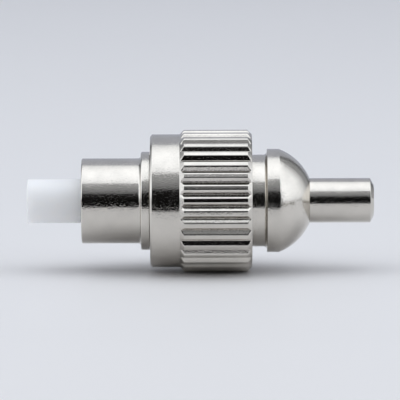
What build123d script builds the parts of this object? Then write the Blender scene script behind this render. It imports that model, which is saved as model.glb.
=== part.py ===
from build123d import *
from math import asin, radians, sin, sqrt, tan
import os

# Fibre ferrule adapter: a screw-on plug with a 2.5 mm ferrule at one end and a 1.25 mm
# ferrule socket at the other. It lies on its knurled nut.
# Millimetres. The origin is the centre of the ferrule's polished end face, +X runs along
# the axis towards the socket and +Z is up.

# Ferrule assembly
FERRULE_RADIUS = 1.25
FERRULE_PROTRUSION = 3.10
FERRULE_EDGE = 0.10
STUB_RADIUS = 0.625
SOCKET_DEPTH = 2.79
STUB_EDGE = 0.10
FIBRE_RADIUS = 0.0625
FUNNEL_RADIUS = 0.40
FUNNEL_DEPTH = 0.70

# Holder that joins the two ferrules
FERRULE_GRIP = 2.90
STUB_GRIP = 1.70
HOLDER_WALL = 0.22
FLANGE_LENGTH = 1.30
FLANGE_STEP = 0.04
FERRULE_TRAVEL = 0.70

# Spring behind the holder's flange
WIRE_RADIUS = 0.16
SPRING_TURNS = 4.5
SPRING_TIP = 0.04
SPRING_GAP = 0.06
TAIL_CLEARANCE = 0.10

# Plug body: locating sleeve, cove and stop ring
GUIDE_LENGTH = 4.50
HUB_WALL = 1.15
HUB_LENGTH = 3.23
HUB_EDGE = 0.09
HUB_COVE = 0.15
RING_WIDTH = 0.50
RING_STEP = 0.18
RING_ROUND = 0.10
RING_EDGE = 0.02
SPIGOT_WALL = 0.35
SPIGOT_PAST_PIN = 0.85
PIN_RADIUS = 0.15

# Rear body: barrel and dome
BARREL_WALL = 0.335
NECK_LENGTH = 0.66
NECK_COVE = 0.19
DOME_STEP = 0.325
BAND_LENGTH = 0.69
DOME_SETBACK = 1.13
DOME_EDGE = 0.04
END_WALL_DEPTH = 1.31

# Rear tube with the split sleeve of the socket
SLEEVE_WALL = 0.175
SLEEVE_SLOT = 0.16
SLEEVE_END_GAP = 0.05
SLEEVE_AIR = 0.04
TUBE_WALL = 0.42
TUBE_EXPOSED = 3.645
TUBE_BEVEL_LENGTH = 0.20
TUBE_BEVEL_DEPTH = 0.36
TUBE_COLLAR_STEP = 0.25
TUBE_COLLAR_LENGTH = 0.30
TUBE_LIP_LENGTH = 0.50
TUBE_LIP_AIR = 0.03
TUBE_LIP_LEAD = 0.12
BUSH_AIR = 0.075

# Knurled nut and its thrust washer
NUT_GAP = 0.04
COLLAR_LENGTH = 1.68
COLLAR_EDGE = 0.11
COLLAR_WALL = 0.53
KNURL_LENGTH = 4.12
KNURL_HEIGHT = 0.25
GROOVE_COUNT = 35
GROOVE_DEPTH = 0.205
GROOVE_ANGLE = 98
THREAD_AIR = 0.19
THREAD_DEPTH = 0.27
RELIEF_LENGTH = 0.90
RELIEF_DEPTH = 0.05
NUT_LIP_THICKNESS = 0.90
NUT_LIP_EDGE = 0.10
WASHER_THICKNESS = 0.30
WASHER_DROP = 0.04

# Radial running fits
GUIDE_FIT = 0.03
FLANGE_FIT = 0.05
SLEEVE_FIT = 0.01
NUT_FIT = 0.05
WASHER_FIT = 0.03
KEY_FIT = 0.03

# Radii from the axis outwards
guide_radius = FERRULE_RADIUS + GUIDE_FIT
tail_radius = FERRULE_RADIUS + HOLDER_WALL
coil_radius = tail_radius + SPRING_GAP + WIRE_RADIUS
flange_radius = coil_radius + WIRE_RADIUS + FLANGE_STEP
chamber_radius = flange_radius + FLANGE_FIT
spigot_radius = chamber_radius + SPIGOT_WALL
barrel_radius = spigot_radius + BARREL_WALL
hub_radius = guide_radius + HUB_WALL
ring_radius = barrel_radius + RING_STEP
band_radius = barrel_radius + DOME_STEP
dome_radius = sqrt(band_radius**2 + DOME_SETBACK**2)
sleeve_bore = STUB_RADIUS + SLEEVE_FIT
sleeve_radius = sleeve_bore + SLEEVE_WALL
tube_bore = sleeve_radius + SLEEVE_AIR
tube_radius = tube_bore + TUBE_WALL
tube_collar_radius = tube_radius + TUBE_COLLAR_STEP
thread_bore = ring_radius + THREAD_AIR
thread_major = thread_bore + THREAD_DEPTH
relief_radius = thread_major + RELIEF_DEPTH
collar_radius = thread_major + COLLAR_WALL
crest_radius = collar_radius + KNURL_HEIGHT
nut_lip_radius = barrel_radius + NUT_FIT

# Stations along the axis
hub_face = FERRULE_PROTRUSION
hub_end = hub_face + HUB_LENGTH
ring_face = hub_end + HUB_COVE
ring_back = ring_face + RING_WIDTH
shoulder = hub_face + GUIDE_LENGTH
ferrule_back = shoulder + FERRULE_GRIP
flange_back = shoulder + FLANGE_LENGTH
tail_end = ferrule_back + STUB_GRIP
nut_face = ring_back + NUT_GAP
knurl_face = nut_face + COLLAR_LENGTH
nut_back = knurl_face + KNURL_LENGTH
nut_lip_face = nut_back - NUT_LIP_THICKNESS
washer_face = nut_lip_face - WASHER_THICKNESS
relief_face = nut_lip_face - RELIEF_LENGTH
dome_face = nut_back + NECK_LENGTH + NECK_COVE
dome_centre = dome_face + BAND_LENGTH - DOME_SETBACK
dome_end = dome_centre + sqrt(dome_radius**2 - tube_radius**2)
end_wall = dome_face + END_WALL_DEPTH
bush_face = tail_end + FERRULE_TRAVEL + TAIL_CLEARANCE
tube_end = dome_end + TUBE_EXPOSED
tube_lip_start = tube_end - TUBE_LIP_LENGTH
stub_tip = tube_end - SOCKET_DEPTH
pin_station = shoulder + FERRULE_TRAVEL + PIN_RADIUS
spigot_end = pin_station + SPIGOT_PAST_PIN


def rod(start, end, radius):
    """Solid cylinder on the axis between two stations."""
    along = Pos(start, 0, 0) * Rot(0, 90, 0)
    return along * Cylinder(radius, end - start, align=(Align.CENTER, Align.CENTER, Align.MIN))


def ring(start, end, outer, inner):
    """Plain tube on the axis between two stations."""
    return rod(start, end, outer) - rod(start, end, inner)


def cone(start, end, start_radius, end_radius):
    """Solid cone on the axis between two stations."""
    along = Pos(start, 0, 0) * Rot(0, 90, 0)
    aligned = (Align.CENTER, Align.CENTER, Align.MIN)
    return along * Cone(start_radius, end_radius, end - start, align=aligned)


def turned(outline):
    """Solid of revolution about the axis from an outline in station and radius."""
    return revolve(make_face(Plane.XZ * outline), Axis.X)


def rims(solid, station, radius):
    """Circular edges of a turned solid at one station and radius."""
    found = solid.edges().filter_by(GeomType.CIRCLE)
    at_station = [e for e in found if abs(e.arc_center.X - station) < 1e-4]
    return [e for e in at_station if abs(e.radius - radius) < 1e-4]


def make_ferrule():
    """2.5 mm ceramic ferrule with a fibre bore and a glue funnel at its back."""
    body = rod(0, ferrule_back, FERRULE_RADIUS)
    body = fillet(rims(body, 0, FERRULE_RADIUS), FERRULE_EDGE)
    funnel = cone(ferrule_back - FUNNEL_DEPTH, ferrule_back, FIBRE_RADIUS, FUNNEL_RADIUS)
    return body - rod(0, ferrule_back, FIBRE_RADIUS) - funnel


def make_stub_ferrule():
    """1.25 mm ceramic ferrule that meets the guest ferrule inside the split sleeve."""
    body = rod(ferrule_back, stub_tip, STUB_RADIUS)
    body = chamfer(rims(body, stub_tip, STUB_RADIUS), STUB_EDGE)
    return body - rod(ferrule_back, stub_tip, FIBRE_RADIUS)


def make_fibre():
    """Bare fibre glued through both ferrules."""
    return rod(0, stub_tip, FIBRE_RADIUS)


def make_holder():
    """Flanged metal sleeve pressed over both ferrules, with a keyway in its flange."""
    body = rod(shoulder, tail_end, tail_radius) + rod(shoulder, flange_back, flange_radius)
    body -= rod(shoulder, ferrule_back, FERRULE_RADIUS)
    body -= rod(ferrule_back, tail_end, STUB_RADIUS)
    key_width = 2 * (PIN_RADIUS + KEY_FIT)
    keyway = Box(FLANGE_LENGTH, key_width, flange_radius, align=(Align.MIN, Align.CENTER, Align.MIN))
    return body - Pos(shoulder, 0, tail_radius) * keyway


def make_spring():
    """Compression spring with ends ground flat, between the flange and the bush."""
    start = flange_back + SPRING_TIP
    height = bush_face - flange_back - 2 * SPRING_TIP
    pitch = height / SPRING_TURNS
    path = Pos(start, 0, 0) * Rot(0, 90, 0) * Helix(pitch, height, coil_radius)
    coil = sweep(Plane(path ^ 0) * Circle(WIRE_RADIUS), path=path, is_frenet=True)
    inner = coil_radius - 2 * WIRE_RADIUS
    outer = coil_radius + 2 * WIRE_RADIUS
    return coil & ring(flange_back, bush_face, outer, inner)


def make_guide_pin():
    """Dowel in the spigot wall that keeps the ferrule holder from turning."""
    tip = tail_radius + KEY_FIT
    dowel = Cylinder(PIN_RADIUS, spigot_radius, align=(Align.CENTER, Align.CENTER, Align.MIN))
    wall = ring(pin_station - 2 * PIN_RADIUS, pin_station + 2 * PIN_RADIUS, spigot_radius, tip)
    return (Pos(pin_station, 0, 0) * dowel) & wall


def make_plug_body():
    """Turned front body: locating sleeve, cove, stop ring and threaded spigot."""
    body = rod(hub_face, spigot_end, spigot_radius) + rod(hub_face, ring_back, hub_radius)
    body += rod(ring_face, ring_back, ring_radius)
    body = fillet(rims(body, ring_face, hub_radius), HUB_COVE)
    body = fillet(rims(body, ring_face, ring_radius), RING_ROUND)
    body = chamfer(rims(body, ring_back, ring_radius), RING_EDGE)
    body = fillet(rims(body, hub_face, hub_radius), HUB_EDGE)
    body -= rod(hub_face, shoulder, guide_radius) + rod(shoulder, spigot_end, chamber_radius)
    body = chamfer(rims(body, hub_face, guide_radius), HUB_EDGE)
    dowel = Cylinder(PIN_RADIUS, ring_radius, align=(Align.CENTER, Align.CENTER, Align.MIN))
    return body - Pos(pin_station, 0, 0) * dowel


def make_rear_body():
    """Barrel that the nut slides on, with the domed rear end, turned in one piece."""
    crown = Polyline((dome_face, 0), (dome_face, band_radius))
    crown += Line((dome_face, band_radius), (dome_face + BAND_LENGTH, band_radius))
    crown += dome_arc()
    crown += Polyline((dome_end, tube_radius), (dome_end, 0), (dome_face, 0))
    body = rod(ring_back, dome_face, barrel_radius) + turned(crown)
    body = fillet(rims(body, dome_face, barrel_radius), NECK_COVE)
    body = chamfer(rims(body, dome_face, band_radius), DOME_EDGE)
    body -= rod(ring_back, spigot_end, spigot_radius)
    body -= rod(spigot_end, end_wall, chamber_radius)
    body -= rod(end_wall, end_wall + TUBE_COLLAR_LENGTH, tube_collar_radius)
    return body - rod(end_wall, dome_end, tube_radius)


def dome_arc():
    """Arc of the dome from the end of its straight band to the tube."""
    start = (dome_face + BAND_LENGTH, band_radius)
    end = (dome_end, tube_radius)
    middle = asin(band_radius / dome_radius) / 2 + asin(tube_radius / dome_radius) / 2
    height = dome_radius * sin(middle)
    reach = sqrt(dome_radius**2 - height**2)
    return ThreePointArc(start, (dome_centre + reach, height), end)


def make_bush():
    """Bush that closes the spring chamber and holds the tube's collar in place."""
    return ring(bush_face, end_wall, chamber_radius, STUB_RADIUS + BUSH_AIR)


def make_rear_tube():
    """Socket tube, collared at its hidden end, bevelled and lipped at its mouth."""
    bevel_start = tube_end - TUBE_BEVEL_LENGTH
    body = rod(end_wall, bevel_start, tube_radius)
    body += rod(end_wall, end_wall + TUBE_COLLAR_LENGTH, tube_collar_radius)
    body += cone(bevel_start, tube_end, tube_radius, tube_radius - TUBE_BEVEL_DEPTH)
    mouth = sleeve_bore + TUBE_LIP_AIR
    body -= rod(end_wall, tube_lip_start, tube_bore) + rod(tube_lip_start, tube_end, mouth)
    return chamfer(rims(body, tube_end, mouth), TUBE_LIP_LEAD)


def make_split_sleeve():
    """Slotted ceramic sleeve that lines up the stub and the guest ferrule."""
    start = end_wall + SLEEVE_END_GAP
    end = tube_lip_start - SLEEVE_END_GAP
    body = ring(start, end, sleeve_radius, sleeve_bore)
    slot = Box(end - start, SLEEVE_SLOT, tube_bore, align=(Align.MIN, Align.CENTER, Align.MIN))
    return body - Pos(start, 0, 0) * slot


def make_washer():
    """Thrust washer between the nut's lip and the stop ring."""
    return ring(washer_face, nut_lip_face, thread_bore - WASHER_DROP, barrel_radius + WASHER_FIT)


def make_groove():
    """V-groove cutter under the nut, as long as the knurl."""
    root = crest_radius - GROOVE_DEPTH
    rise = 2 * GROOVE_DEPTH
    reach = rise * tan(radians(GROOVE_ANGLE / 2))
    vee = Polyline((0, -root), (reach, -root - rise), (-reach, -root - rise), close=True)
    return Pos(knurl_face, 0, 0) * extrude(Plane.YZ * make_face(vee), KNURL_LENGTH, dir=(1, 0, 0))


def make_nut():
    """Union nut with a plain collar, a straight knurl and a threaded mouth."""
    body = rod(nut_face, nut_back, collar_radius)
    body = chamfer(rims(body, nut_face, collar_radius), COLLAR_EDGE)
    body += cone(knurl_face, knurl_face + KNURL_HEIGHT, collar_radius, crest_radius)
    body += rod(knurl_face + KNURL_HEIGHT, nut_back - KNURL_HEIGHT, crest_radius)
    body += cone(nut_back - KNURL_HEIGHT, nut_back, crest_radius, collar_radius)
    body -= rod(nut_face, relief_face, thread_bore) + rod(relief_face, nut_lip_face, relief_radius)
    body -= rod(nut_lip_face, nut_back, nut_lip_radius)
    body = chamfer(rims(body, nut_face, thread_bore), THREAD_DEPTH)
    body = chamfer(rims(body, nut_back, nut_lip_radius), NUT_LIP_EDGE)
    turn = 360 / GROOVE_COUNT
    return body - [Rot(turn * k, 0, 0) * make_groove() for k in range(GROOVE_COUNT)]


os.makedirs("parts", exist_ok=True)
pieces = {
    "ferrule": make_ferrule(),
    "stub_ferrule": make_stub_ferrule(),
    "fibre": make_fibre(),
    "ferrule_holder": make_holder(),
    "ferrule_spring": make_spring(),
    "guide_pin": make_guide_pin(),
    "plug_body": make_plug_body(),
    "rear_body": make_rear_body(),
    "spring_bush": make_bush(),
    "rear_tube": make_rear_tube(),
    "split_sleeve": make_split_sleeve(),
    "thrust_washer": make_washer(),
    "knurled_nut": make_nut(),
}
for name, piece in pieces.items():
    export_step(piece, f"parts/{name}.step")
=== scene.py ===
import math

import bpy
import numpy as np
from mathutils import Matrix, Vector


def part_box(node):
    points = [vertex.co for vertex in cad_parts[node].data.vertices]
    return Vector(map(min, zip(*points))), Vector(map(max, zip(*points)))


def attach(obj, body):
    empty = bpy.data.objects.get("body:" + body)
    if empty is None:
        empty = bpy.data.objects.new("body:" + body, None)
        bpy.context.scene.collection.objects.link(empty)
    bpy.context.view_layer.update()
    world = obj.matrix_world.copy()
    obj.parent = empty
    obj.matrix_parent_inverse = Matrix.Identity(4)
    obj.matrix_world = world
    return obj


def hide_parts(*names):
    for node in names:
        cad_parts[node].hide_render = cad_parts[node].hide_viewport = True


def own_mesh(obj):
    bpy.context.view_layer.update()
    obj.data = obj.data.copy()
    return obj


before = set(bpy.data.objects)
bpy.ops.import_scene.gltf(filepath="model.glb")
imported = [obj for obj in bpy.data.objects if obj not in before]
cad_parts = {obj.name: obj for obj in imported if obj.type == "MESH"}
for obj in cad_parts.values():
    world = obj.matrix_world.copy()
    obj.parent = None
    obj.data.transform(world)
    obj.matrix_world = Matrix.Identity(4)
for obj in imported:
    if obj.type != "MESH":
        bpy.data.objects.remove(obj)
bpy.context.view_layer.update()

# The camera stands where the photograph's did: a few degrees above the floor, square to the
# axis, and far off with a very long lens, so that the round pieces show hardly any perspective.
ELEVATION = math.radians(7.7)
CAMERA_DISTANCE = 0.285
LENS_MM = 449
SENSOR_MM = 36
NEAREST_SEEN = 0.01
AIM = np.array([0.009857, 0.0, 0.00004])
ROLL = math.radians(-0.16)

camera = bpy.data.objects.new("camera", bpy.data.cameras.new("camera"))
bpy.context.scene.collection.objects.link(camera)
camera.data.sensor_width = SENSOR_MM
camera.data.lens = LENS_MM
camera.data.clip_start = NEAREST_SEEN
towards_camera = np.array([0, -math.cos(ELEVATION), math.sin(ELEVATION)])
camera.location = AIM + CAMERA_DISTANCE * towards_camera
tilted = Matrix.Rotation(math.pi / 2 - ELEVATION, 3, "X") @ Matrix.Rotation(ROLL, 3, "Z")
camera.rotation_euler = tilted.to_euler()
bpy.context.scene.camera = camera
bpy.context.scene.view_settings.view_transform = "Standard"

# The light tent is open at the front: a lit ceiling, two lit side walls, a dimmer back wall and a
# flap over the opening. The walls are flat cloth panels that only light the scene, so the camera
# looks through them. A black room behind them closes the gaps at the corners.
CEILING = 0.30
SIDE = 0.231
BACK = 0.173
FRONT = -0.2025
FLAP_FOOT = 0.104
FLOOR = min(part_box(name)[0].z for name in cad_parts)


def node(tree, kind, inputs=(), **settings):
    """Adds a node. inputs gives each socket a value or another node's output."""
    made = tree.nodes.new("ShaderNode" + kind)
    for name, value in settings.items():
        setattr(made, name, value)
    for name, value in dict(inputs).items():
        if isinstance(value, bpy.types.NodeSocket):
            tree.links.new(value, made.inputs[name])
        else:
            made.inputs[name].default_value = value
    return made


def new_material(name):
    """Empty node material with its tree and its surface socket."""
    material = bpy.data.materials.new(name)
    material.use_nodes = True
    tree = material.node_tree
    tree.nodes.clear()
    output = node(tree, "OutputMaterial")
    return material, tree, output.inputs["Surface"]


def object_place(tree):
    """Place of a point in its object's own coordinates."""
    return node(tree, "TexCoord").outputs["Object"]


def panel(name, corners, colour, strength, fades=(), one_way=False):
    """Flat four-cornered panel that gives off light and that the camera doesn't see.

    A fade is (axis, [(place, share), ...]): along that axis the strength is multiplied by the
    share, blended from one place to the next. A one-way panel is seen only from its back.
    """
    mesh = bpy.data.meshes.new(name)
    mesh.from_pydata(corners, [], [(0, 1, 2, 3)])
    made = bpy.data.objects.new(name, mesh)
    bpy.context.scene.collection.objects.link(made)
    material, tree, surface = new_material(name)
    light = node(tree, "Emission", {"Color": (*colour, 1), "Strength": strength})
    full = strength
    for axis, stops in fades:
        along = node(tree, "SeparateXYZ", {"Vector": object_place(tree)}).outputs[axis]
        first, last = stops[0][0], stops[-1][0]
        share = node(tree, "MapRange", {"Value": along, "From Min": first, "From Max": last})
        ramp = node(tree, "ValToRGB", {"Fac": share.outputs["Result"]})
        marks = ramp.color_ramp.elements
        for spot, value in stops[1:-1]:
            marks.new((spot - first) / (last - first)).color = (value, value, value, 1)
        marks[0].color = (*(stops[0][1],) * 3, 1)
        marks[-1].color = (*(stops[-1][1],) * 3, 1)
        scaled = node(tree, "Math", {0: ramp.outputs["Color"], 1: full}, operation="MULTIPLY")
        full = scaled.outputs["Value"]
    if fades:
        tree.links.new(full, light.inputs["Strength"])
    shown = light.outputs["Emission"]
    if one_way:
        clear = node(tree, "BsdfTransparent").outputs["BSDF"]
        behind = node(tree, "NewGeometry").outputs["Backfacing"]
        shown = node(tree, "MixShader", {0: behind, 1: clear, 2: shown}).outputs["Shader"]
    tree.links.new(shown, surface)
    mesh.materials.append(material)
    made.visible_camera = False
    return made


def upright(x0, y0, x1, y1, foot, head):
    """Corners of a panel that stands on the line between two points of the floor."""
    return [(x0, y0, foot), (x1, y1, foot), (x1, y1, head), (x0, y0, head)]


def level(x0, x1, y0, y1, height):
    """Corners of a level panel."""
    return [(x0, y0, height), (x1, y0, height), (x1, y1, height), (x0, y1, height)]


CLOTH = (0.93, 0.97, 1.03)
BACK_CLOTH = (0.90, 0.95, 1.08)
BRIGHT_LIGHT = 1.68
BACK_LIGHT = 0.56
FLAP_LIGHT = 1.0
CORNER_LIGHT = 0.40
SEAM_LIGHT = 0.15
SIDE_FRONT = -0.198
SIDE_REAR = 0.150
BACK_HALF = 0.108
SEAM_HALF = 0.148
FLAP_HALF = 0.191
CEILING_FADE = [(FRONT, 0.80), (-0.12, 0.92), (-0.045, 1.0), (0.035, 0.98), (0.13, 0.80)]
CEILING_FADE += [(BACK, 0.60)]
SIDE_FADE = [(SIDE_FRONT, 0.90), (-0.16, 0.96), (-0.11, 0.98), (0.01, 0.92), (0.09, 0.60)]
SIDE_FADE += [(SIDE_REAR, 0.36)]
SIDE_RISE = [(FLOOR, 0.30), (0.006, 0.52), (0.014, 0.80), (0.04, 0.92), (0.11, 1.0)]
BACK_RISE = [(FLOOR, 0.85), (0.06, 0.92), (0.17, 1.0)]
FLAP_RISE = [(FLAP_FOOT, 0.22), (0.186, 0.41), (CEILING, 0.47)]

ceiling = level(-SIDE, SIDE, FRONT, BACK, CEILING)
rear_wall = upright(-BACK_HALF, BACK, BACK_HALF, BACK, FLOOR, CEILING)
flap = upright(-FLAP_HALF, FRONT, FLAP_HALF, FRONT, FLAP_FOOT, CEILING)
panel("tent_ceiling", ceiling, CLOTH, BRIGHT_LIGHT, [("Y", CEILING_FADE)])
panel("tent_back", rear_wall, BACK_CLOTH, BACK_LIGHT, [("Z", BACK_RISE)])
panel("tent_flap", flap, CLOTH, FLAP_LIGHT, [("Z", FLAP_RISE)])
for hand, name in ((-1, "left"), (1, "right")):
    wall = upright(hand * SIDE, SIDE_FRONT, hand * SIDE, SIDE_REAR, FLOOR, CEILING)
    seam = upright(hand * BACK_HALF, BACK, hand * SEAM_HALF, BACK, FLOOR, CEILING)
    corner = upright(hand * SEAM_HALF, BACK, hand * SIDE, SIDE_REAR, FLOOR, CEILING)
    panel(f"tent_{name}", wall, CLOTH, BRIGHT_LIGHT, [("Y", SIDE_FADE), ("Z", SIDE_RISE)])
    panel(f"tent_seam_{name}", seam, CLOTH, SEAM_LIGHT)
    panel(f"tent_corner_{name}", corner, CLOTH, CORNER_LIGHT)

ROOM = 0.36
DARK = (0.0095, 0.0095, 0.0095)
room = {
    "room_left": upright(-ROOM, -ROOM, -ROOM, ROOM, FLOOR, ROOM),
    "room_right": upright(ROOM, -ROOM, ROOM, ROOM, FLOOR, ROOM),
    "room_front": upright(-ROOM, -ROOM, ROOM, -ROOM, FLOOR, ROOM),
    "room_back": upright(-ROOM, ROOM, ROOM, ROOM, FLOOR, ROOM),
    "room_top": level(-ROOM, ROOM, -ROOM, ROOM, ROOM),
}
for name, corners in room.items():
    panel(name, corners, DARK, 1)

# A black card stands in front of the adapter, just below the picture. Only the polished metal
# shows it, as the lower edge of the dark band that runs along each cylinder, so it is left out
# of everything else and of the floor's sheen. Its low grey wing draws a thin line on the dome.
CARD_DISTANCE = 0.0248
CARD_HEIGHT = 0.0072
CARD_START = -0.05
CARD_END = 0.0385
CARD_LIGHT = 0.6
WING_GREY = (0.62, 0.62, 0.62)
WING_END = 0.046
WING_DISTANCE = 0.008
WING_FOOT = -0.0028
WING_HEAD = 0.0

wide = upright(CARD_START, -CARD_DISTANCE, CARD_END, -CARD_DISTANCE, FLOOR, CARD_HEIGHT)
wing = upright(CARD_END, -CARD_DISTANCE, WING_END, -WING_DISTANCE, WING_FOOT, WING_HEAD)
for name, corners, colour in (("black_card", wide, DARK), ("grey_wing", wing, WING_GREY)):
    card = panel(name, corners, colour, CARD_LIGHT, one_way=True)
    card.visible_diffuse = card.visible_shadow = card.visible_transmission = False

# The floor is a sheet of pale blue-grey card. Its colour is painted a little darker away from the
# camera, towards the back of the tent, as painted shade where the light falls off.
FLOOR_REACH = 1.5
NEAR_COLOUR = (0.81, 0.795, 0.79, 1)
FAR_SHADED_COLOUR = (0.795, 0.785, 0.785, 1)
FADE_START = -0.05
FADE_END = 0.03
PAPER_ROUGHNESS = 0.5
PAPER_SHEEN = 0.4
SURROUND = (0.69, 0.71, 0.76, 1)


def mixed_colour(tree, share, first, second):
    """Colour that goes from the first to the second as the share goes from 0 to 1.

    Sockets 6 and 7 are a Mix node's two colours, and output 2 is the mixed one.
    """
    made = node(tree, "Mix", {0: share, 6: first, 7: second}, data_type="RGBA")
    return made.outputs[2]


def coat(tree, surface, inputs):
    """Gives a material a Principled surface with these inputs."""
    made = node(tree, "BsdfPrincipled", inputs)
    tree.links.new(made.outputs["BSDF"], surface)


floor_mesh = bpy.data.meshes.new("floor")
floor_mesh.from_pydata(
    level(-FLOOR_REACH, FLOOR_REACH, -FLOOR_REACH, FLOOR_REACH, FLOOR), [], [(0, 1, 2, 3)]
)
floor = bpy.data.objects.new("floor", floor_mesh)
bpy.context.scene.collection.objects.link(floor)
paper, tree, surface = new_material("floor_paper")
depth = node(tree, "SeparateXYZ", {"Vector": object_place(tree)}).outputs["Y"]
# Painted shade: the paper's colour goes from the near colour to the darker far one along Y.
fade = node(tree, "MapRange", {"Value": depth, "From Min": FADE_START, "From Max": FADE_END})
coat(
    tree,
    surface,
    {
        "Base Color": mixed_colour(tree, fade.outputs["Result"], NEAR_COLOUR, FAR_SHADED_COLOUR),
        "Roughness": PAPER_ROUGHNESS,
        "Specular IOR Level": PAPER_SHEEN,
    },
)
floor_mesh.materials.append(paper)

world = bpy.data.worlds.new("pale_surround")
bpy.context.scene.world = world
world.use_nodes = True
world.node_tree.nodes["Background"].inputs["Color"].default_value = SURROUND

# The ferrule is a ground cylinder of milky zirconia with rounded edges. A fibre is glued in its
# bore, and a funnel at its back led the glue in. It is the first turned piece, so what all
# turned pieces share is made here. Sizes are in millimetres until a mesh is written.
MM = 0.001
EDGE_STEPS = 9
ROUND_SEGMENTS = 256
FERRULE_RADIUS = 1.25
FERRULE_EDGE = 0.10
FIBRE_RADIUS = 0.0625
FUNNEL_RADIUS = 0.40
FUNNEL_DEPTH = 0.70
CRISP = 0.015
SAME_POINT = 1e-7


def ends_of(name):
    """First and last station of a CAD node along the axis, in millimetres."""
    low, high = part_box(name)
    return low.x / MM, high.x / MM


def softened(corners, count=EDGE_STEPS):
    """Closed outline with its corners rounded by that many points each.

    Each corner is (station, radius, setback, wear). It becomes the arc that leaves one side at
    the setback and joins the next at the same setback. As a rational quadratic curve, the two
    ends weigh (1-t)^2 and t^2, and the corner 2t(1-t) times the cosine of half the turn. Wear
    grows as 4t(1-t) on it.
    """
    corners = np.array(corners, float)
    point, setback, wear = corners[:, :2], corners[:, 2:3], corners[:, 3:4]
    before = np.roll(point, 1, axis=0) - point
    after = np.roll(point, -1, axis=0) - point
    before /= np.linalg.norm(before, axis=1, keepdims=True)
    after /= np.linalg.norm(after, axis=1, keepdims=True)
    half_turn = np.sqrt((1 - (before * after).sum(axis=1)) / 2)[:, None, None]
    start, end = point + before * setback, point + after * setback
    t = np.linspace(0, 1, count)[None, :, None]
    share = 2 * t * (1 - t) * half_turn
    bend = start[:, None] * (1 - t) ** 2 + point[:, None] * share + end[:, None] * t**2
    bend /= (1 - t) ** 2 + share + t**2
    outline = np.concatenate([bend, wear[:, None] * 4 * t * (1 - t)], axis=2).reshape(-1, 3)
    moved = np.linalg.norm(outline[:, :2] - np.roll(outline[:, :2], 1, axis=0), axis=1)
    return outline[moved > SAME_POINT]


def closed_skin(name, points, wear):
    """Mesh of a grid of points that closes on itself in both directions.

    A face joins each point to the next in its row and in its column. The normal at a point is
    the cross product of the chords between its neighbours. The signed volume, a third of the
    sum of position times normal over the faces, tells whether the skin is inside out.
    """
    rows, columns = points.shape[:2]
    along = np.roll(points, -1, axis=0) - np.roll(points, 1, axis=0)
    around = np.roll(points, -1, axis=1) - np.roll(points, 1, axis=1)
    normal = np.cross(along, around)
    if (points * normal).sum() < 0:
        return closed_skin(name, points[::-1], wear[::-1])
    normal /= np.linalg.norm(normal, axis=2, keepdims=True)
    index = np.arange(rows * columns).reshape(rows, columns)
    below = np.roll(index, -1, axis=0)
    faces = np.stack([index, below, np.roll(below, -1, axis=1), np.roll(index, -1, axis=1)], 2)
    mesh = bpy.data.meshes.new(name)
    mesh.vertices.add(rows * columns)
    mesh.vertices.foreach_set("co", (points * MM).astype(np.float32).ravel())
    mesh.loops.add(faces.size)
    mesh.loops.foreach_set("vertex_index", faces.astype(np.int32).ravel())
    mesh.polygons.add(rows * columns)
    mesh.polygons.foreach_set("loop_start", np.arange(0, faces.size, 4, dtype=np.int32))
    mesh.update()
    mesh.validate()
    mesh.normals_split_custom_set_from_vertices(normal.reshape(-1, 3).astype(np.float32))
    worn = mesh.attributes.new("wear", "FLOAT", "POINT")
    worn.data.foreach_set("value", np.broadcast_to(wear, (rows, columns)).ravel().astype("f"))
    made = bpy.data.objects.new(name, mesh)
    bpy.context.scene.collection.objects.link(made)
    return made


def turned(name, corners):
    """Piece of revolution about the X axis.

    The outline's radius times the sine and minus the cosine of the angle gives Y and Z.
    """
    outline = softened(corners)
    angle = np.linspace(0, 2 * math.pi, ROUND_SEGMENTS, endpoint=False)[None, :]
    station, radius = outline[:, 0:1], outline[:, 1:2]
    stations = np.broadcast_to(station, (len(outline), ROUND_SEGMENTS))
    points = np.stack([stations, radius * np.sin(angle), -radius * np.cos(angle)], axis=2)
    return closed_skin(name, points, outline[:, 2:3])


def place_piece(piece, cad_node, body, slot, *materials):
    """Stands a new piece in for its CAD node, on its body, with its finish."""
    for material in materials:
        piece.data.materials.append(material)
    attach(piece, body)
    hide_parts(cad_node)


def noise(tree, vector, scale, detail):
    """Noise of the given scale and detail over a vector."""
    made = node(tree, "TexNoise", {"Vector": vector, "Scale": scale, "Detail": detail})
    return made.outputs["Fac"]


def math_node(tree, operation, first, second):
    """Result of a two-input math node."""
    made = node(tree, "Math", {0: first, 1: second}, operation=operation)
    return made.outputs["Value"]


def new_group(name, sockets):
    """Empty node group. sockets lists (name, direction, kind)."""
    group = bpy.data.node_groups.new(name, "ShaderNodeTree")
    for label, direction, kind in sockets:
        group.interface.new_socket(label, in_out=direction, socket_type="NodeSocket" + kind)
    entry = group.nodes.new("NodeGroupInput")
    exit_node = group.nodes.new("NodeGroupOutput")
    return group, entry.outputs, exit_node.inputs


def grouped(tree, group, inputs):
    """Places a node group in a material and returns its outputs."""
    return node(tree, "Group", inputs, node_tree=group).outputs


def spread(tree, value, low, high):
    """Spreads a value of 0 to 1 evenly from low to high."""
    made = node(tree, "MapRange", {"Value": value, "To Min": low, "To Max": high})
    return made.outputs["Result"]


def raised(tree, height, depth):
    """Normal of a surface with relief of this height, times a depth in metres."""
    return node(tree, "Bump", {"Height": height, "Distance": depth}).outputs["Normal"]


# Machining marks: noise stretched by different scales along the axis and across it. Along is
# high on a turned or ground face, whose marks run round it, and low on a rolled one. Grain is
# the share of even specks laid over the marks, and how far the fine pits between them show.
SPECK_SCALE = 11000
PIT_SCALE = 15000
CLOUD_SCALE = 900
PIT_EDGE = 0.54
PIT_FLOOR = 0.66
PIT_DEPTH = 0.45

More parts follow.
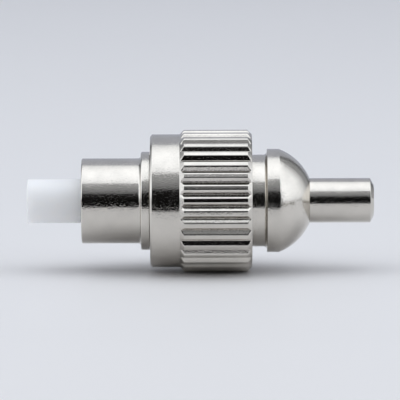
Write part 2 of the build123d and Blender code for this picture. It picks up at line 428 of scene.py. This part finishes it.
machining, given, result = new_group(
    "machining_marks",
    [
        ("Along", "INPUT", "Float"),
        ("Across", "INPUT", "Float"),
        ("Grain", "INPUT", "Float"),
        ("Height", "OUTPUT", "Float"),
        ("Cloud", "OUTPUT", "Float"),
        ("Specks", "OUTPUT", "Float"),
    ],
)
place = object_place(machining)
stretch = node(
    machining, "CombineXYZ", {"X": given["Along"], "Y": given["Across"], "Z": given["Across"]}
)
stretched = node(machining, "VectorMath", {0: place, 1: stretch.outputs[0]}, operation="MULTIPLY")
specked = node(
    machining,
    "Mix",
    {
        0: given["Grain"],
        2: noise(machining, stretched.outputs[0], 1, 3),
        3: noise(machining, place, SPECK_SCALE, 2),
    },
)
fine = noise(machining, place, PIT_SCALE, 1)
pits = node(machining, "MapRange", {"Value": fine, "From Min": PIT_EDGE, "From Max": PIT_FLOOR})
pitting = math_node(machining, "MULTIPLY", pits.outputs["Result"], given["Grain"])
sunk = math_node(machining, "MULTIPLY", pitting, PIT_DEPTH)
height = math_node(machining, "SUBTRACT", specked.outputs[0], sunk)
machining.links.new(height, result["Height"])
machining.links.new(noise(machining, place, CLOUD_SCALE, 4), result["Cloud"])
machining.links.new(pitting, result["Specks"])

MILK = (0.985, 0.965, 0.945, 1)
PALE_MILK = (0.997, 0.98, 0.96, 1)
GROUND_GLOSS = (0.34, 0.46)
GROUND_DEPTH = 2e-7
SCATTER_REACH = 0.0016
SCATTER_TINT = (1.0, 0.95, 0.9)
ZIRCONIA_IOR = 1.6
ZIRCONIA_SHEEN = 0.25

ceramic, tree, surface = new_material("ground_zirconia")
marks = grouped(tree, machining, {"Along": 9000, "Across": 700, "Grain": 0.5})
coat(
    tree,
    surface,
    {
        "Base Color": mixed_colour(tree, marks["Cloud"], MILK, PALE_MILK),
        "Roughness": spread(tree, marks["Cloud"], *GROUND_GLOSS),
        "Normal": raised(tree, marks["Height"], GROUND_DEPTH),
        "Subsurface Weight": 1.0,
        "Subsurface Scale": SCATTER_REACH,
        "Subsurface Radius": SCATTER_TINT,
        "IOR": ZIRCONIA_IOR,
        "Specular IOR Level": ZIRCONIA_SHEEN,
    },
)

ferrule_tip, ferrule_back = ends_of("ferrule")
funnel_start = ferrule_back - FUNNEL_DEPTH
ferrule = turned(
    "zirconia_ferrule",
    [
        (ferrule_tip, FIBRE_RADIUS, 0, 0),
        (ferrule_tip, FERRULE_RADIUS, FERRULE_EDGE, 1),
        (ferrule_back, FERRULE_RADIUS, CRISP, 1),
        (ferrule_back, FUNNEL_RADIUS, CRISP, 1),
        (funnel_start, FIBRE_RADIUS, 0, 0),
    ],
)
place_piece(ferrule, "ferrule", "ferrule_assembly", "ceramic", ceramic)

# The stub ferrule is a thinner zirconia cylinder pressed into the same holder. Its polished,
# bevelled tip waits half-way down the socket for the guest ferrule.
STUB_RADIUS = 0.625
STUB_EDGE = 0.10

stub_start, stub_tip = ends_of("stub_ferrule")
stub = turned(
    "zirconia_stub",
    [
        (stub_start, FIBRE_RADIUS, 0, 0),
        (stub_start, STUB_RADIUS, CRISP, 1),
        (stub_tip - STUB_EDGE, STUB_RADIUS, CRISP, 1),
        (stub_tip, STUB_RADIUS - STUB_EDGE, CRISP, 1),
        (stub_tip, FIBRE_RADIUS, 0, 0),
    ],
)
place_piece(stub, "stub_ferrule", "ferrule_assembly", "ceramic", ceramic)

# The fibre is bare glass, polished flush with both ferrules, so only its two ends show. The CAD
# node stays.
GLASS_COLOUR = (0.30, 0.33, 0.36, 1)
GLASS_IOR = 1.46
GLASS_GLOSS = (0.04, 0.10)
GLASS_CLOUD = 20000


def finish_node(name, material):
    """Gives a CAD node that stays its finish."""
    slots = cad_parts[name].data.materials
    slots.clear()
    slots.append(material)


glass, tree, surface = new_material("polished_fibre")
polish = spread(tree, noise(tree, object_place(tree), GLASS_CLOUD, 2), *GLASS_GLOSS)
coat(tree, surface, {"Base Color": GLASS_COLOUR, "Roughness": polish, "IOR": GLASS_IOR})
finish_node("fibre", glass)

# The plug body is turned brass, nickel plated: locating sleeve, cove, stop ring and the spigot
# that the rear body screws on. The plating is bright, with fine marks of the turning tool under
# it and edges that handling has polished.
GUIDE_RADIUS = 1.28
HUB_RADIUS = 2.43
HUB_EDGE = 0.09
HUB_LENGTH = 3.23
HUB_COVE = 0.15
RING_RADIUS = 2.805
RING_WIDTH = 0.50
RING_ROUND = 0.10
RING_EDGE = 0.02
SPIGOT_RADIUS = 2.29
CHAMBER_RADIUS = 1.94
GUIDE_LENGTH = 4.50
NICKEL = (0.715, 0.68, 0.625, 1)
STAINED_NICKEL = (0.53, 0.505, 0.465, 1)
WORN_NICKEL = (0.72, 0.69, 0.64, 1)
PATCH_SCALE = 2500
PIT_HAZE = 0.24

handling, given, result = new_group(
    "handled_edges",
    [
        ("Wear", "INPUT", "Float"),
        ("Plating", "INPUT", "Color"),
        ("Rubbed", "INPUT", "Color"),
        ("Color", "OUTPUT", "Color"),
    ],
)
patchy = noise(handling, object_place(handling), PATCH_SCALE, 3)
rubbed = math_node(handling, "MULTIPLY", given["Wear"], patchy)
colour = mixed_colour(handling, rubbed, given["Plating"], given["Rubbed"])
handling.links.new(colour, result["Color"])


def plated(name, along, across, grain, depth, gloss):
    """Nickel plate over machining marks of the given scales, grain and depth in metres.

    The gloss is the roughness of the brightest and of the dullest patches.
    """
    material, tree, surface = new_material(name)
    marks = grouped(tree, machining, {"Along": along, "Across": across, "Grain": grain})
    wear = node(tree, "Attribute", attribute_name="wear").outputs["Fac"]
    mottled = mixed_colour(tree, marks["Cloud"], NICKEL, STAINED_NICKEL)
    edges = grouped(tree, handling, {"Wear": wear, "Plating": mottled, "Rubbed": WORN_NICKEL})
    pitted = math_node(tree, "MULTIPLY", marks["Specks"], PIT_HAZE)
    coat(
        tree,
        surface,
        {
            "Base Color": edges["Color"],
            "Metallic": 1.0,
            "Roughness": math_node(tree, "ADD", spread(tree, marks["Cloud"], *gloss), pitted),
            "Normal": raised(tree, marks["Height"], depth),
        },
    )
    return material


turned_nickel = plated(
    "turned_nickel", along=9000, across=900, grain=0.7, depth=6.2e-6, gloss=(0.04, 0.08)
)

hub_face, spigot_end = ends_of("plug_body")
hub_end = hub_face + HUB_LENGTH
ring_face = hub_end + HUB_COVE
ring_back = ring_face + RING_WIDTH
shoulder = hub_face + GUIDE_LENGTH
plug = turned(
    "plug_sleeve",
    [
        (hub_face + HUB_EDGE, GUIDE_RADIUS, CRISP, 1),
        (hub_face, GUIDE_RADIUS + HUB_EDGE, CRISP, 1),
        (hub_face, HUB_RADIUS, HUB_EDGE, 1),
        (ring_face, HUB_RADIUS, HUB_COVE, 0),
        (ring_face, RING_RADIUS, RING_ROUND, 1),
        (ring_back, RING_RADIUS, RING_EDGE, 1),
        (ring_back, SPIGOT_RADIUS, CRISP, 0),
        (spigot_end, SPIGOT_RADIUS, CRISP, 1),
        (spigot_end, CHAMBER_RADIUS, CRISP, 1),
        (shoulder, CHAMBER_RADIUS, CRISP, 0),
        (shoulder, GUIDE_RADIUS, CRISP, 1),
    ],
)
place_piece(plug, "plug_body", "housing", "nickel_plate", turned_nickel)

# The rear body is the smooth barrel that the nut runs on, with a domed end, turned in one piece
# from the same plated brass. It is screwed over the plug body's spigot.
BARREL_RADIUS = 2.625
NECK_COVE = 0.19
BAND_RADIUS = 2.95
BAND_LENGTH = 0.69
DOME_SETBACK = 1.13
DOME_EDGE = 0.04
TUBE_RADIUS = 1.27
TUBE_COLLAR_RADIUS = 1.52
TUBE_COLLAR_LENGTH = 0.30
CROWN_ROWS = 48

barrel_start, dome_end = ends_of("rear_body")
tube_start, tube_end = ends_of("rear_tube")
dome_radius = math.hypot(BAND_RADIUS, DOME_SETBACK)
dome_centre = dome_end - math.sqrt(dome_radius**2 - TUBE_RADIUS**2)
dome_face = dome_centre + DOME_SETBACK - BAND_LENGTH
crown_foot = math.asin(BAND_RADIUS / dome_radius)
crown_top = math.asin(TUBE_RADIUS / dome_radius)
rise = np.linspace(crown_foot, crown_top, CROWN_ROWS)
crown = [(dome_centre + dome_radius * math.cos(a), dome_radius * math.sin(a), 0, 0) for a in rise]
rear = turned(
    "domed_barrel",
    [
        (barrel_start, SPIGOT_RADIUS, CRISP, 0),
        (barrel_start, BARREL_RADIUS, CRISP, 1),
        (dome_face, BARREL_RADIUS, NECK_COVE, 0),
        (dome_face, BAND_RADIUS, DOME_EDGE, 1),
        *crown,
        (tube_start + TUBE_COLLAR_LENGTH, TUBE_RADIUS, 0, 0),
        (tube_start + TUBE_COLLAR_LENGTH, TUBE_COLLAR_RADIUS, CRISP, 0),
        (tube_start, TUBE_COLLAR_RADIUS, CRISP, 0),
        (tube_start, CHAMBER_RADIUS, CRISP, 0),
        (spigot_end, CHAMBER_RADIUS, CRISP, 0),
        (spigot_end, SPIGOT_RADIUS, CRISP, 0),
    ],
)
place_piece(rear, "rear_body", "housing", "nickel_plate", turned_nickel)

# The rear tube is the socket for a 1.25 mm ferrule. Its collar is trapped inside the dome, and
# its mouth is bevelled outside and has a small lead-in inside.
TUBE_BORE = 0.85
MOUTH_RADIUS = 0.665
TUBE_BEVEL_LENGTH = 0.20
TUBE_BEVEL_DEPTH = 0.36
LIP_LENGTH = 0.50
LIP_LEAD = 0.12

lip_start = tube_end - LIP_LENGTH
tube = turned(
    "socket_tube",
    [
        (tube_start, TUBE_BORE, CRISP, 0),
        (tube_start, TUBE_COLLAR_RADIUS, CRISP, 0),
        (tube_start + TUBE_COLLAR_LENGTH, TUBE_COLLAR_RADIUS, CRISP, 0),
        (tube_start + TUBE_COLLAR_LENGTH, TUBE_RADIUS, CRISP, 0),
        (tube_end - TUBE_BEVEL_LENGTH, TUBE_RADIUS, CRISP, 1),
        (tube_end, TUBE_RADIUS - TUBE_BEVEL_DEPTH, CRISP, 1),
        (tube_end, MOUTH_RADIUS + LIP_LEAD, CRISP, 1),
        (tube_end - LIP_LEAD, MOUTH_RADIUS, CRISP, 1),
        (lip_start, MOUTH_RADIUS, CRISP, 0),
        (lip_start, TUBE_BORE, CRISP, 0),
    ],
)
place_piece(tube, "rear_tube", "housing", "nickel_plate", turned_nickel)

# The split sleeve is a thin zirconia tube with one slot along it, which lets it open a hair's
# breadth round both small ferrules and line them up.
SLEEVE_BORE = 0.635
SLEEVE_RADIUS = 0.81
SLEEVE_SLOT = 0.16
ARC_STEPS = 96
END_GAP = 0.02

sleeve_start, sleeve_end = ends_of("split_sleeve")
outer_edge = math.asin(SLEEVE_SLOT / 2 / SLEEVE_RADIUS)
inner_edge = math.asin(SLEEVE_SLOT / 2 / SLEEVE_BORE)
outer_arc = np.linspace(outer_edge, 2 * math.pi - outer_edge, ARC_STEPS)
inner_arc = np.linspace(2 * math.pi - inner_edge, inner_edge, ARC_STEPS)
section_angle = np.concatenate([outer_arc, inner_arc])
section_radius = np.repeat([SLEEVE_RADIUS, SLEEVE_BORE], ARC_STEPS)
wall = (SLEEVE_RADIUS - SLEEVE_BORE) / 2
middle = (SLEEVE_RADIUS + SLEEVE_BORE) / 2


def split_rows(stations, shrink):
    """Rows of the split sleeve's section: its radius drawn towards the wall's middle."""
    radius = middle + (section_radius - middle) * shrink[:, None]
    across = radius * np.sin(section_angle)
    up = radius * np.cos(section_angle)
    along = np.broadcast_to(stations[:, None], across.shape)
    return np.stack([along, across, up], axis=2)


# Each end narrows to a hairline in the middle of the wall, along which the skin closes.
front = [sleeve_start, sleeve_start, sleeve_start + CRISP]
back = [sleeve_end - CRISP, sleeve_end, sleeve_end]
full = [END_GAP, 1 - CRISP / wall, 1]
sleeve_points = split_rows(np.array(front + back), np.array(full + full[::-1]))
sleeve = closed_skin("zirconia_split_sleeve", sleeve_points, np.zeros((len(sleeve_points), 1)))
place_piece(sleeve, "split_sleeve", "housing", "ceramic", ceramic)

# The union nut is turned from plated brass, with a plain collar and a straight rolled knurl of
# wide V-grooves, which run out in points on the bevels at both ends. Inside are a fine thread, a
# relief groove and the lip that draws the stop ring home.
COLLAR_RADIUS = 3.795
COLLAR_LENGTH = 1.68
COLLAR_EDGE = 0.11
CREST_RADIUS = 4.045
KNURL_HEIGHT = 0.25
GROOVE_COUNT = 35
GROOVE_DEPTH = 0.205
GROOVE_ANGLE = math.radians(98)
CREST_SOFTNESS = 0.05
TIP_SOFTNESS = 0.02
THREAD_MINOR = 2.995
THREAD_DEPTH = 0.27
THREAD_PITCH = 0.50
THREAD_STEP = 0.0625
THREAD_STEEPNESS = 1.25
THREAD_LAND = 0.12
THREAD_RUN_IN = 0.05
THREAD_RUN_OUT = 0.02
RELIEF_RADIUS = 3.315
RELIEF_LENGTH = 0.90
NUT_LIP_RADIUS = 2.675
NUT_LIP_THICKNESS = 0.90
NUT_LIP_EDGE = 0.10
NUT_EDGE_STEPS = 4
BEVEL_ROWS = 10

nut_face, nut_back = ends_of("knurled_nut")
knurl_face = nut_face + COLLAR_LENGTH
nut_lip_face = nut_back - NUT_LIP_THICKNESS
relief_face = nut_lip_face - RELIEF_LENGTH
thread_start = nut_face + THREAD_DEPTH


def steps(first, last, count):
    """Stations and radii evenly spaced on a straight run, as corners with no rounding."""
    return [(x, r, 0, 0) for x, r in zip(np.linspace(*first, count), np.linspace(*last, count))]


outside = softened(
    [
        (nut_face, THREAD_MINOR + THREAD_DEPTH, CRISP, 1),
        (nut_face, COLLAR_RADIUS - COLLAR_EDGE, CRISP, 1),
        (nut_face + COLLAR_EDGE, COLLAR_RADIUS, CRISP, 1),
        (knurl_face, COLLAR_RADIUS, CRISP, 0),
        *steps(
            (knurl_face + CRISP, knurl_face + KNURL_HEIGHT - CRISP),
            (COLLAR_RADIUS + CRISP, CREST_RADIUS - CRISP),
            BEVEL_ROWS,
        ),
        (knurl_face + KNURL_HEIGHT, CREST_RADIUS, CRISP / 2, 1),
        (nut_back - KNURL_HEIGHT, CREST_RADIUS, CRISP / 2, 1),
        *steps(
            (nut_back - KNURL_HEIGHT + CRISP, nut_back - CRISP),
            (CREST_RADIUS - CRISP, COLLAR_RADIUS + CRISP),
            BEVEL_ROWS,
        ),
        (nut_back, COLLAR_RADIUS, CRISP / 2, 1),
        (nut_back, NUT_LIP_RADIUS + NUT_LIP_EDGE, CRISP, 1),
        (nut_back - NUT_LIP_EDGE, NUT_LIP_RADIUS, CRISP, 1),
        (nut_lip_face, NUT_LIP_RADIUS, CRISP, 0),
        (nut_lip_face, RELIEF_RADIUS, CRISP, 0),
        (relief_face, RELIEF_RADIUS, CRISP, 0),
        (relief_face, THREAD_MINOR, CRISP / 2, 0),
        *steps(
            (relief_face - THREAD_STEP, thread_start + THREAD_STEP),
            (THREAD_MINOR, THREAD_MINOR),
            int((relief_face - thread_start) / THREAD_STEP) - 1,
        ),
        (thread_start, THREAD_MINOR, CRISP, 1),
    ],
    NUT_EDGE_STEPS,
)
station, radius, nut_wear = outside[:, 0:1], outside[:, 1:2], outside[:, 2:3]

# Columns crowd at the roots and the land edges. They are given as shares of half a pitch.
half_pitch = math.pi / GROOVE_COUNT
half_share = np.array([0.04, 0.14, 0.42, 0.52, 0.60, 0.66, 0.72, 0.78, 0.88])
shares = np.concatenate([-half_share[::-1], [0], half_share, [1]])
centres = 2 * half_pitch * np.arange(GROOVE_COUNT)[:, None]
angle = (centres + half_pitch * shares[None, :]).ravel()[None, :]
from_root = np.tile(half_pitch * shares, GROOVE_COUNT)[None, :]

# A groove's flanks are straight, which in polar form is the root radius times the sine of half
# the groove's angle, over the sine of that half less the angle from the root. A smooth minimum
# cuts it from the profile and rounds the lands, and it is sharper where a groove runs out.
half_vee = GROOVE_ANGLE / 2
flank = (CREST_RADIUS - GROOVE_DEPTH) * math.sin(half_vee) / np.sin(half_vee - np.abs(from_root))
climb = np.clip((radius - COLLAR_RADIUS) / KNURL_HEIGHT, 0, 1)
softness = TIP_SOFTNESS + (CREST_SOFTNESS - TIP_SOFTNESS) * climb**2
mix = np.clip(0.5 + (flank - radius) / (2 * softness), 0, 1)
grooved = flank * (1 - mix) + radius * mix - softness * mix * (1 - mix)
knurled = (station > knurl_face) & (radius > COLLAR_RADIUS)
skin_radius = np.where(knurled, grooved, radius)

# The thread is a sharp wave along the axis that moves on by one pitch with each turn.
turns = station / THREAD_PITCH - angle / (2 * math.pi)
wave = 1 - np.abs(2 * (turns % 1) - 1)
threaded = (radius < THREAD_MINOR + SAME_POINT) & (station > thread_start + THREAD_RUN_IN)
threaded &= station < relief_face - THREAD_RUN_OUT
cut = np.clip(THREAD_STEEPNESS * wave - THREAD_LAND, 0, 1) * THREAD_DEPTH
skin_radius = np.where(threaded, radius + cut, skin_radius)

stations = np.broadcast_to(station, skin_radius.shape)
nut_points = np.stack(
    [stations, skin_radius * np.sin(angle), -skin_radius * np.cos(angle)], axis=2
)
crest_wear = np.where(knurled, 4 * mix * (1 - mix), 0) + nut_wear
nut = closed_skin("knurled_union_nut", nut_points, np.clip(crest_wear, 0, 1))
rolled_nickel = plated(
    "rolled_nickel", along=350, across=16000, grain=0.15, depth=4.5e-5, gloss=(0.05, 0.12)
)
place_piece(nut, "knurled_nut", "nut", "nickel_plate", turned_nickel, rolled_nickel)

# A face is rolled where most of its corners lie on a groove's flank, and turned elsewhere.
corner_share = np.where(knurled, 1 - mix, 0)
across_share = corner_share + np.roll(corner_share, -1, axis=1)
face_share = (across_share + np.roll(across_share, -1, axis=0)) / 4
nut.data.polygons.foreach_set("material_index", (face_share > 0.5).astype(np.int32).ravel())
nut.data.update()

# Inside the body, the flanged holder and the bush are plain plated brass, and the guide pin and
# the thrust washer are bright steel. None of them shows at rest, so the CAD nodes stay and only
# take their finishes.
STEEL_COLOUR = (0.56, 0.57, 0.58, 1)
STEEL_GLOSS = (0.18, 0.30)
STEEL_DEPTH = 4e-7

drawn_steel, tree, surface = new_material("drawn_steel")
marks = grouped(tree, machining, {"Along": 4000, "Across": 4000, "Grain": 0.5})
coat(
    tree,
    surface,
    {
        "Base Color": STEEL_COLOUR,
        "Metallic": 1.0,
        "Roughness": spread(tree, marks["Cloud"], *STEEL_GLOSS),
        "Normal": raised(tree, marks["Height"], STEEL_DEPTH),
    },
)
finish_node("ferrule_holder", turned_nickel)
finish_node("spring_bush", turned_nickel)
finish_node("guide_pin", drawn_steel)
finish_node("thrust_washer", drawn_steel)

# The spring is drawn steel wire, wound in a helix with its ends ground flat. It pushes the holder
# forwards and shortens towards the bush as the ferrule is pressed in; the mesh is built at rest.
COIL_RADIUS = 1.69
WIRE_RADIUS = 0.16
SPRING_TURNS = 4.5
SPRING_TIP = 0.04
COIL_ROWS = 360
WIRE_SIDES = 20

spring_front, spring_back = ends_of("ferrule_spring")
wound = spring_back - spring_front - 2 * SPRING_TIP
share = np.linspace(0, 1, COIL_ROWS)[:, None]
turn = 2 * math.pi * SPRING_TURNS * share
side = np.linspace(0, 2 * math.pi, WIRE_SIDES, endpoint=False)[None, :]

# The wire's middle climbs along X at an even rate as it goes round. Its round section lies in the
# radius and in the direction square to both the radius and the wire, and the grinding clips it.
sweep = 2 * math.pi * SPRING_TURNS * COIL_RADIUS
wire_length = math.hypot(wound, sweep)
outwards = COIL_RADIUS + WIRE_RADIUS * np.cos(side)
backwards = WIRE_RADIUS * np.sin(side)
along = spring_front + SPRING_TIP + wound * share + backwards * sweep / wire_length
lean = backwards * wound / wire_length
coil = np.stack(
    [
        np.clip(along, spring_front, spring_back),
        outwards * np.sin(turn) - lean * np.cos(turn),
        -outwards * np.cos(turn) - lean * np.sin(turn),
    ],
    axis=2,
)
index = np.arange(COIL_ROWS * WIRE_SIDES).reshape(COIL_ROWS, WIRE_SIDES)
ahead = np.roll(index, -1, axis=1)
quads = np.stack([index[1:], ahead[1:], ahead[:-1], index[:-1]], axis=2).reshape(-1, 4)
caps = [index[0].tolist(), index[-1, ::-1].tolist()]
coil_mesh = bpy.data.meshes.new("steel_spring")
coil_mesh.from_pydata((coil * MM).reshape(-1, 3), [], quads.tolist() + caps)
coil_mesh.polygons.foreach_set("use_smooth", [True] * len(quads) + [False, False])
spring = bpy.data.objects.new("steel_spring", coil_mesh)
bpy.context.scene.collection.objects.link(spring)
place_piece(spring, "ferrule_spring", "housing", "spring_steel", drawn_steel)
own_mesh(spring)
